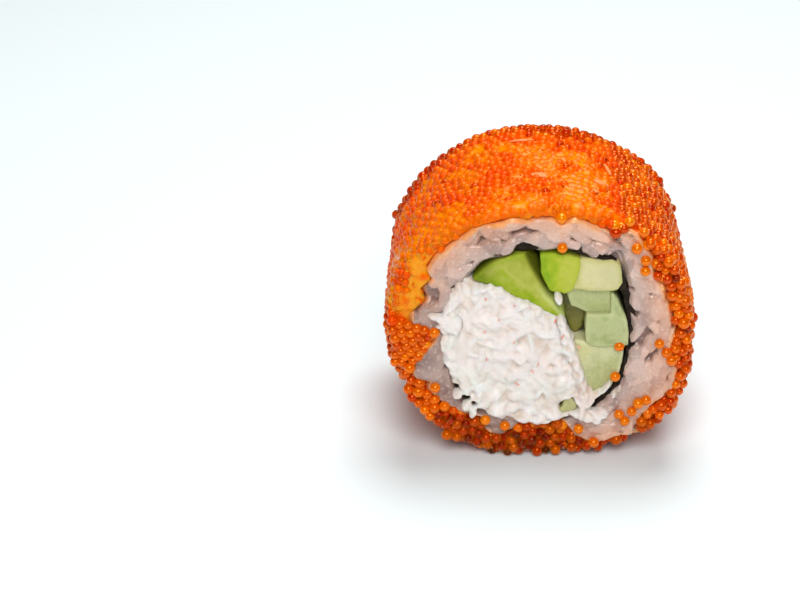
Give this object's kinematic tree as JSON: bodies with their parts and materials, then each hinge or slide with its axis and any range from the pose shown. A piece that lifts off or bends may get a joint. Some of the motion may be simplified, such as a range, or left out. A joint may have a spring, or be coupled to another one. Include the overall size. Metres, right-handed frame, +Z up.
{
  "type": "california roll",
  "caption": "One cut piece of an inside-out sushi roll on its side: crab salad, avocado and cucumber in seaweed and rice, coated in orange fish roe.",
  "frame": {"origin": "on the table, under the middle of the piece's outer box", "axes": "+X across the piece, its widest way; +Y along the roll, from the cut face that shows to the one behind; +Z up"},
  "size_m": [0.0472, 0.0324, 0.0429],
  "materials": {
    "roe": "wet, translucent orange beads",
    "rice": "moist, slightly translucent",
    "seaweed": "damp, nearly black",
    "crab": "creamy, moist",
    "avocado_green": "buttery, slightly glossy",
    "avocado_pale": "buttery, slightly glossy",
    "cucumber": "wet, slightly translucent"
  },
  "bodies": {
    "root": {"roe_coat": "roe", "rice_ring": "rice", "seaweed_wrap": "seaweed", "crab_salad": "crab", "avocado_wedge": "avocado_green", "avocado_green_block": "avocado_green", "avocado_pale_block": "avocado_pale", "cucumber_top": "cucumber", "cucumber_middle": "cucumber", "cucumber_low": "cucumber", "cucumber_inner": "cucumber", "cucumber_sliver": "cucumber"}
  },
  "joints": []
}
